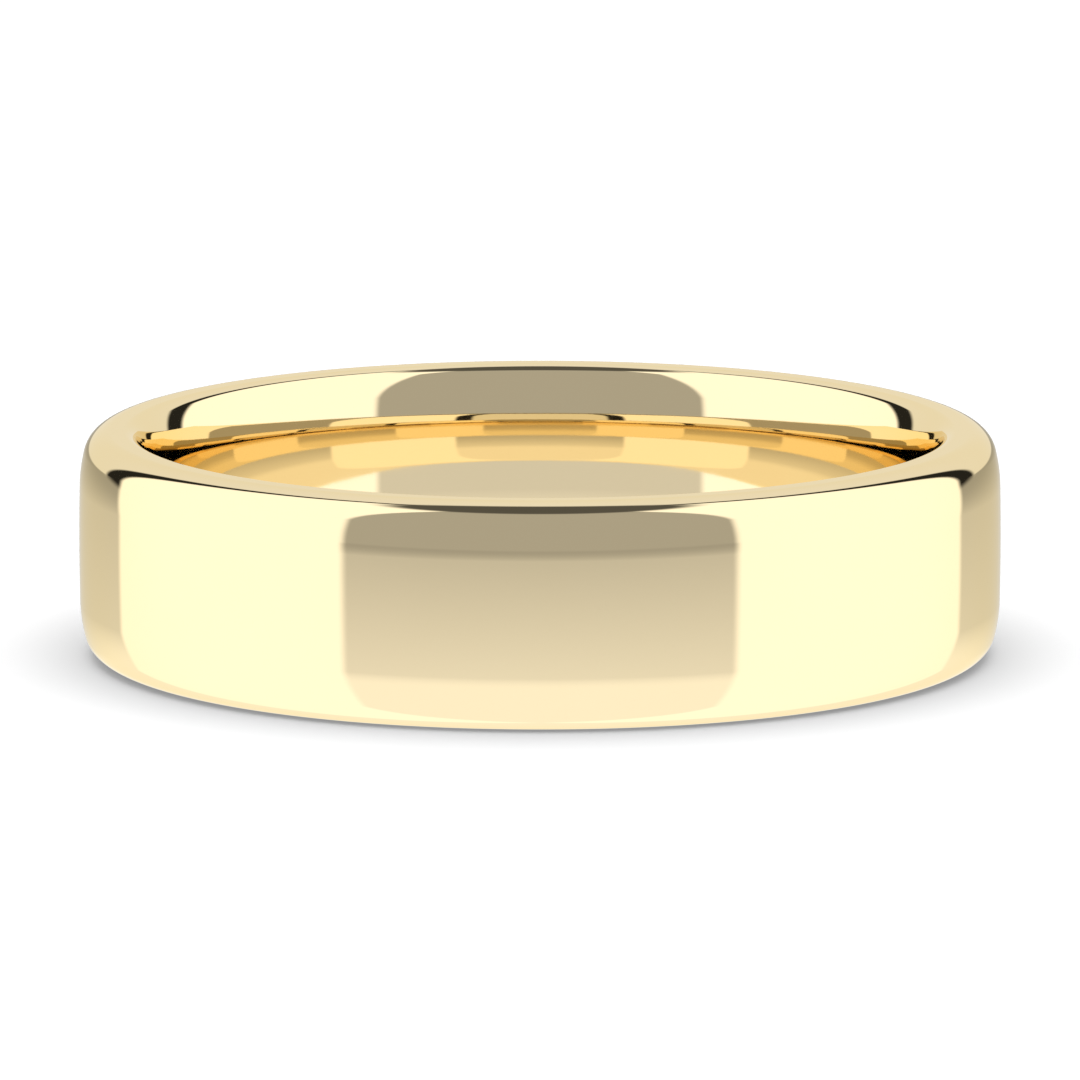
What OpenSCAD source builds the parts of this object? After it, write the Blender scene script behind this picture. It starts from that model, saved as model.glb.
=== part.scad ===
// Plain comfort-fit wedding band: one solid ring of gold with a slightly
// crowned outer face, soft shoulders, narrow flat rims and an inner face that
// swells towards the finger, with a short straight land at its narrowest.
// The finger axis is +Z, the band lies on its lower rim at z = 0, and the
// origin is the centre of that rim. Sizes are in millimetres and degrees.

/* [Ring size] */
// Bore diameter at the narrowest, which sets the ring size
bore_diameter = 17.2; // [14:0.1:23]
// Wall thickness at mid width, where the ring is thickest
wall = 1.6; // [1.45:0.05:2.8]
// Width of the band along the finger
band_width = 5; // [4:0.1:8]

/* [Outer face] */
// Radius of the slight crown across the outer face
crown_radius = 60; // [20:1:200]
// Radius of the soft shoulder next to the outer face
shoulder_radius = 3.4; // [2:0.1:4]
// Turn from the outer face to where the tighter corner begins
shoulder_turn = 14; // [10:1:20]
// Radius of the tighter corner between shoulder and rim
corner_radius = 0.62; // [0.4:0.01:0.7]

/* [Inner face] */
// Length of the straight land at the narrowest part of the bore
land_length = 0.6; // [0.2:0.1:0.8]
// Radius of the gentle swell next to the land
swell_radius = 16; // [8:1:60]
// Radius that carries the swell round towards the rim
flank_radius = 4; // [2.5:0.1:4]
// Turn from the bore to where the flank ends
flank_turn = 13; // [9:1:13]
// Radius of the inner shoulder
inner_shoulder_radius = 1.3; // [0.8:0.05:1.3]
// Turn from the bore to where the inner corner begins
inner_shoulder_turn = 35; // [25:1:38]
// Radius of the inner corner next to the rim
inner_corner_radius = 0.35; // [0.2:0.01:0.4]

/* [Hidden] */
$fn = 180;

gold = [0.83, 0.72, 0.47];
bore_radius = bore_diameter / 2;
half_width = band_width / 2;
half_land = land_length / 2;

// The first arc of a side ends at no more than this share of the next turn;
// on a wide band its radius grows to keep to it.
first_share = 0.8;

// Each side of the section is a chain of arcs that follow one another
// tangentially, from the widest at mid width to the tightest at the rim.
outer_chain = [shoulder_radius, corner_radius];
outer_bends = [shoulder_turn];
outer_radii = full_radii(crown_radius, outer_chain, outer_bends, 0);
outer_turns = full_turns(outer_radii, outer_bends, 0);

inner_chain = [flank_radius, inner_shoulder_radius, inner_corner_radius];
inner_bends = [flank_turn, inner_shoulder_turn];
inner_radii = full_radii(swell_radius, inner_chain, inner_bends, half_land);
inner_turns = full_turns(inner_radii, inner_bends, half_land);

// The rims stay at least this wide; a thin wall grows to leave them room.
least_rim = 0.1;
rounding = depth(outer_radii, outer_turns) + depth(inner_radii, inner_turns);
outer_radius = bore_radius + max(wall, rounding + least_rim);

// Each arc is laid out in steps of about this many degrees, at least two.
arc_step = 5;

// Height that the arcs of a chain climb, the first of them from level.
function climb(radii, turns, i = 0) =
    i == len(radii) - 1
        ? radii[i]
        : (radii[i] - radii[i + 1]) * sin(turns[i]) + climb(radii, turns, i + 1);

// Height that is left to the first arc of a side, before the chain after it.
function first_climb(chain, turns, straight) =
    half_width - straight - climb(chain, turns);

// Radii of all arcs of a side, from the first one's radius and the chain.
function full_radii(first_radius, chain, turns, straight) =
    let (
        left = first_climb(chain, turns, straight),
        least = chain[0] + left / sin(first_share * turns[0])
    )
    concat([max(first_radius, least)], chain);

// Start and end turns of every arc, with the first arc's end worked out so
// that the chain reaches the rim.
function full_turns(radii, turns, straight) =
    let (
        chain = [for (i = [1 : len(radii) - 1]) radii[i]],
        left = first_climb(chain, turns, straight)
    )
    concat([0, asin(left / (radii[0] - radii[1]))], turns, [90]);

// How far a side falls back from its outermost point to the rim.
function depth(radii, turns, i = 0) =
    i == len(radii)
        ? 0
        : radii[i] * (cos(turns[i]) - cos(turns[i + 1])) + depth(radii, turns, i + 1);

// Centre of arc i, measured from the side's outermost point at mid width.
function arc_centre(radii, turns, straight, i) =
    i == 0
        ? [-radii[0], straight]
        : arc_centre(radii, turns, straight, i - 1)
            + (radii[i - 1] - radii[i]) * [cos(turns[i]), sin(turns[i])];

// Points along arc i, without the one where it starts.
function arc_points(radii, turns, straight, i) =
    let (
        steps = max(2, ceil((turns[i + 1] - turns[i]) / arc_step)),
        centre = arc_centre(radii, turns, straight, i)
    )
    [for (k = [1 : steps])
        let (turn = turns[i] + (turns[i + 1] - turns[i]) * k / steps)
            centre + radii[i] * [cos(turn), sin(turn)]];

// Upper half of one side, from just above mid width to the rim.
function side_points(radii, turns, straight) =
    [for (i = [0 : len(radii) - 1])
        for (p = arc_points(radii, turns, straight, i)) p];

function backwards(points) =
    [for (i = [len(points) - 1 : -1 : 0]) points[i]];

node_band();

module node_band() {
    band();
}

// The whole ring, turned about the finger axis.
module band() {
    color(gold)
        translate([0, 0, half_width])
            rotate_extrude()
                section();
}

// Cross-section of the ring, centred on mid width: the outer side up to the
// rim, the inner side back to the straight land, and the mirror image of both.
module section() {
    outer_side = [
        for (p = side_points(outer_radii, outer_turns, 0)) [outer_radius + p[0], p[1]]
    ];
    inner_side = [
        for (p = backwards(side_points(inner_radii, inner_turns, half_land)))
            [bore_radius - p[0], p[1]]
    ];
    upper = concat(outer_side, inner_side, [[bore_radius, half_land]]);
    lower = [for (p = backwards(upper)) [p[0], -p[1]]];
    polygon(concat(upper, lower));
}
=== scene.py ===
from math import asin, cos, pi, radians, sin

import bpy
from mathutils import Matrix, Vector


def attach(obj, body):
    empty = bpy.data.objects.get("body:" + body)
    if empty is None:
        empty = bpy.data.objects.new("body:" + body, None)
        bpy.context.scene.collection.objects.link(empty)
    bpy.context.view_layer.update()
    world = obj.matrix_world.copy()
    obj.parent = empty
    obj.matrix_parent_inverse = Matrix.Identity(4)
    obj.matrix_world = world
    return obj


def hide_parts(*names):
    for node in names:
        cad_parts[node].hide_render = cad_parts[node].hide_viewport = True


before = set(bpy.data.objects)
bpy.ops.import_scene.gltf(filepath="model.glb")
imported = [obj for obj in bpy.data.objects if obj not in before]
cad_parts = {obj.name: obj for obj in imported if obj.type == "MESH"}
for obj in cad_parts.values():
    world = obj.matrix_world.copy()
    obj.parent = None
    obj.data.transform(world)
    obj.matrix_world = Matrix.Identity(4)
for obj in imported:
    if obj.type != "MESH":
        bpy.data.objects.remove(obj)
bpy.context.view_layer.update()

MM = 0.001

# Section of the band, in millimetres: the same chains of arcs as the CAD part.
# Each chain runs from mid width to the rim as (radius, turn where it ends).
BORE_R = 8.6
OUTER_R = 10.2
HALF_WIDTH = 2.5
LAND_HALF = 0.3
OUTER_ARCS = [(60.0, None), (3.4, radians(14)), (0.62, pi / 2)]
INNER_ARCS = [(16.0, None), (4.0, radians(13)), (1.3, radians(35)), (0.35, pi / 2)]
OUTER_STEPS = [6, 10, 20]
INNER_STEPS = [6, 6, 8, 12]
TURN_STEPS = 640

# Plain studio round the ring. Angles are in degrees, azimuth either way from
# the front; levels are brightnesses.
PANEL_EDGE = 50
BOX_EDGE = 130
FLAG_EDGE = 140
WALL_TOP = 70
PANEL_LEVEL = 0.45
BOX_LEVEL = 1.3
FLAG_LEVEL = 0.02
REAR_LEVEL = 0.9
CEILING_LEVEL = 0.1
FLOOR_LEVEL = 1.1
HORIZON_LEVEL = 0.4
FLOOR_FADE = 20
BORDER = 3

# Floor, lamps and camera, in metres; the camera looks down by an angle.
FLOOR_HALF = 4.0
LAMP_HEIGHT = 0.5
CAMERA_DISTANCE = 0.330
CAMERA_HEIGHT = radians(9.763)
CAMERA_LENS = 496.7


def side(arcs, steps, straight):
    """Points of one side from mid width up to the rim, as (depth below the
    side's outermost point, height, turn of the surface)."""
    radii = [radius for radius, _ in arcs]
    turns = [turn for _, turn in arcs]
    climb = HALF_WIDTH - straight - radii[-1]
    for i in range(1, len(arcs) - 1):
        climb -= (radii[i] - radii[i + 1]) * sin(turns[i])
    turns[0] = asin(climb / (radii[0] - radii[1]))
    out = [(0.0, straight, 0.0)]
    start = 0.0
    for radius, turn, count in zip(radii, turns, steps):
        depth, height, _ = out[-1]
        for k in range(1, count + 1):
            a = start + (turn - start) * k / count
            out.append((depth + radius * (cos(start) - cos(a)),
                        height + radius * (sin(a) - sin(start)), a))
        start = turn
    return out


def section():
    """Closed section of the ring, counter-clockwise from mid width on the
    outer face, as (radius, height, (radial, axial) normal)."""
    outer = side(OUTER_ARCS, OUTER_STEPS, 0.0)
    inner = side(INNER_ARCS, INNER_STEPS, LAND_HALF)
    upper = [(OUTER_R - d, z, (cos(a), sin(a))) for d, z, a in outer]
    upper += [(BORE_R + d, z, (-cos(a), sin(a))) for d, z, a in reversed(inner)]
    lower = [(r, -z, (n[0], -n[1])) for r, z, n in reversed(upper)]
    return upper + lower[:-1]


def turned_mesh(name, profile, steps):
    """Mesh of the section turned about Z, with exact normals."""
    rows = len(profile)
    verts, normals, faces = [], [], []
    for k in range(steps):
        a = 2 * pi * k / steps
        ca, sa = cos(a), sin(a)
        for r, z, n in profile:
            verts.append((r * ca * MM, r * sa * MM, (z + HALF_WIDTH) * MM))
            normals.append((n[0] * ca, n[0] * sa, n[1]))
    for k in range(steps):
        near, far = k * rows, ((k + 1) % steps) * rows
        for i in range(rows):
            j = (i + 1) % rows
            faces.append((near + i, far + i, far + j, near + j))
    mesh = bpy.data.meshes.new(name)
    mesh.from_pydata(verts, [], faces)
    mesh.validate()
    for poly in mesh.polygons:
        poly.use_smooth = True
    mesh.normals_split_custom_set_from_vertices(normals)
    mesh.update()
    obj = bpy.data.objects.new(name, mesh)
    bpy.context.collection.objects.link(obj)
    return obj


class Nodes:
    """Small helper that writes arithmetic as shader nodes."""

    def __init__(self, tree):
        self.tree = tree

    def new(self, kind, **settings):
        node = self.tree.nodes.new(kind)
        for key, value in settings.items():
            setattr(node, key, value)
        return node

    def put(self, socket, value):
        if isinstance(value, bpy.types.NodeSocket):
            self.tree.links.new(value, socket)
        else:
            socket.default_value = value

    def math(self, operation, *values):
        node = self.new("ShaderNodeMath", operation=operation)
        for socket, value in zip(node.inputs, values):
            self.put(socket, value)
        return node.outputs[0]

    def ramp(self, value, low, high, out_low=0.0, out_high=1.0, curve="SMOOTHSTEP"):
        node = self.new("ShaderNodeMapRange", interpolation_type=curve)
        self.put(node.inputs["Value"], value)
        node.inputs["From Min"].default_value = low
        node.inputs["From Max"].default_value = high
        self.put(node.inputs["To Min"], out_low)
        self.put(node.inputs["To Max"], out_high)
        return node.outputs["Result"]

    def window(self, value, low, high):
        """1 between low and high, with soft borders."""
        half = BORDER / 2
        up = self.ramp(value, low - half, low + half)
        down = self.ramp(value, high - half, high + half, 1.0, 0.0)
        return self.math("MULTIPLY", up, down)

    def mix(self, under, over, mask):
        node = self.new("ShaderNodeMix", data_type="FLOAT")
        self.put(node.inputs["Factor"], mask)
        self.put(node.inputs["A"], under)
        self.put(node.inputs["B"], over)
        return node.outputs["Result"]

    def directions(self, output):
        """Azimuth from the front in degrees, positive to the right, and height
        in degrees, of the vector that a texture coordinate output gives."""
        coords = self.new("ShaderNodeTexCoord")
        unit = self.new("ShaderNodeVectorMath", operation="NORMALIZE")
        self.tree.links.new(coords.outputs[output], unit.inputs[0])
        split = self.new("ShaderNodeSeparateXYZ")
        self.tree.links.new(unit.outputs[0], split.inputs[0])
        x, y, z = split.outputs
        turn = self.math("ARCTAN2", x, self.math("MULTIPLY", y, -1.0))
        az = self.math("MULTIPLY", turn, 180 / pi)
        el = self.math("MULTIPLY", self.math("ARCSINE", z), 180 / pi)
        return az, el

def studio_world():
    """Plain studio, drawn by direction: a mid-grey panel in front, a soft box at
    each side, a narrow black flag behind each box, and a rear wall."""
    world = bpy.data.worlds.new("studio")
    bpy.context.scene.world = world
    world.use_nodes = True
    world.cycles_visibility.diffuse = False
    tree = world.node_tree
    tree.nodes.clear()
    n = Nodes(tree)
    azimuth, height = n.directions("Generated")
    azimuth = n.math("ABSOLUTE", azimuth)

    walls = REAR_LEVEL
    for level, low, high in ((PANEL_LEVEL, -10, PANEL_EDGE),
                             (BOX_LEVEL, PANEL_EDGE, BOX_EDGE),
                             (FLAG_LEVEL, BOX_EDGE, FLAG_EDGE)):
        walls = n.mix(walls, level, n.window(azimuth, low, high))
    above = n.mix(walls, CEILING_LEVEL, n.ramp(height, WALL_TOP - BORDER, WALL_TOP + BORDER))
    below = n.ramp(height, -FLOOR_FADE, 0, FLOOR_LEVEL, HORIZON_LEVEL)
    # The soft boxes stand on the floor, so they show below the horizon too.
    boxes = n.window(azimuth, PANEL_EDGE, BOX_EDGE)
    below = n.mix(below, BOX_LEVEL, boxes)
    level = n.mix(below, above, n.ramp(height, -1, 1))

    background = n.new("ShaderNodeBackground")
    n.put(background.inputs["Strength"], level)
    background.inputs["Color"].default_value = (1.0, 1.0, 1.0, 1.0)
    out = n.new("ShaderNodeOutputWorld")
    tree.links.new(background.outputs[0], out.inputs["Surface"])


def gold_material():
    mat = bpy.data.materials.new("polished_gold")
    mat.use_nodes = True
    tree = mat.node_tree
    n = Nodes(tree)
    shader = tree.nodes["Principled BSDF"]
    shader.inputs["Metallic"].default_value = 1.0
    shader.inputs["Specular Tint"].default_value = (0.966, 0.897, 0.715, 1.0)
    coords = n.new("ShaderNodeTexCoord").outputs["Object"]
    cloud = n.new("ShaderNodeTexNoise")
    cloud.inputs["Scale"].default_value = 350.0
    cloud.inputs["Detail"].default_value = 3.0
    tree.links.new(coords, cloud.inputs["Vector"])
    rough = n.ramp(cloud.outputs["Fac"], 0.3, 0.7, 0.020, 0.045, "LINEAR")
    tree.links.new(rough, shader.inputs["Roughness"])
    tone = n.new("ShaderNodeMix", data_type="RGBA")
    tone.inputs[6].default_value = (0.915, 0.768, 0.492, 1.0)
    tone.inputs[7].default_value = (0.925, 0.782, 0.508, 1.0)
    tree.links.new(cloud.outputs["Fac"], tone.inputs[0])
    tree.links.new(tone.outputs[2], shader.inputs["Base Color"])
    # Waviness that polishing leaves: features of a third of a millimetre, a
    # fraction of a micron high.
    waves = n.new("ShaderNodeTexNoise")
    waves.inputs["Scale"].default_value = 3000.0
    waves.inputs["Detail"].default_value = 2.0
    tree.links.new(coords, waves.inputs["Vector"])
    bump = n.new("ShaderNodeBump")
    bump.inputs["Strength"].default_value = 0.5
    bump.inputs["Distance"].default_value = 0.0000002
    tree.links.new(waves.outputs["Fac"], bump.inputs["Height"])
    tree.links.new(bump.outputs["Normal"], shader.inputs["Normal"])
    return mat


def floor():
    mesh = bpy.data.meshes.new("floor")
    half = FLOOR_HALF
    corners = [(-half, -half, 0), (half, -half, 0), (half, half, 0), (-half, half, 0)]
    mesh.from_pydata(corners, [], [(0, 1, 2, 3)])
    obj = bpy.data.objects.new("floor", mesh)
    bpy.context.collection.objects.link(obj)
    mat = bpy.data.materials.new("pale_floor")
    mat.use_nodes = True
    n = Nodes(mat.node_tree)
    shader = mat.node_tree.nodes["Principled BSDF"]
    grain = n.new("ShaderNodeTexNoise")
    grain.inputs["Scale"].default_value = 60.0
    coords = n.new("ShaderNodeTexCoord").outputs["Object"]
    mat.node_tree.links.new(coords, grain.inputs["Vector"])
    tone = n.new("ShaderNodeMix", data_type="RGBA")
    tone.inputs[6].default_value = (0.90, 0.90, 0.90, 1.0)
    tone.inputs[7].default_value = (0.92, 0.92, 0.92, 1.0)
    mat.node_tree.links.new(grain.outputs["Fac"], tone.inputs[0])
    mat.node_tree.links.new(tone.outputs[2], shader.inputs["Base Color"])
    shader.inputs["Roughness"].default_value = 0.9
    shader.inputs["Specular IOR Level"].default_value = 0.0
    shader.inputs["Emission Color"].default_value = (1.0, 1.0, 1.0, 1.0)
    shader.inputs["Emission Strength"].default_value = 0.3
    mesh.materials.append(mat)
    obj.visible_glossy = False


def disc_lamp(name, radiance, width, height):
    """Round lamp facing straight down at the floor, which alone it lights."""
    data = bpy.data.lights.new(name, "AREA")
    data.shape = "DISK"
    data.size = width
    disc_area = pi / 4 * width ** 2
    data.energy = radiance * pi * disc_area
    obj = bpy.data.objects.new(name, data)
    obj.location = (0, 0, height)
    bpy.context.collection.objects.link(obj)
    obj.visible_camera = False
    obj.visible_glossy = False


def lamps():
    """Two discs overhead, one tight and one wide."""
    disc_lamp("overhead_tight", 2.25, 0.6, LAMP_HEIGHT)
    disc_lamp("overhead_wide", 0.80, 1.4, LAMP_HEIGHT)


def camera():
    data = bpy.data.cameras.new("camera")
    obj = bpy.data.objects.new("camera", data)
    bpy.context.collection.objects.link(obj)
    distance = CAMERA_DISTANCE
    height = CAMERA_HEIGHT
    centre = Vector((0, 0, HALF_WIDTH * MM))
    obj.location = centre + distance * Vector((0, -cos(height), sin(height)))
    obj.rotation_euler = (pi / 2 - height, 0, 0)
    data.sensor_width = 36.0
    data.lens = CAMERA_LENS
    data.clip_start = 0.01
    data.clip_end = 20.0
    bpy.context.scene.camera = obj


band = turned_mesh("band_polished", section(), TURN_STEPS)
band.data.materials.append(gold_material())
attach(band, "root")
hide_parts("band")

floor()
studio_world()
lamps()
camera()
bpy.context.scene.view_settings.view_transform = "Standard"
bpy.context.scene.cycles.caustics_reflective = False
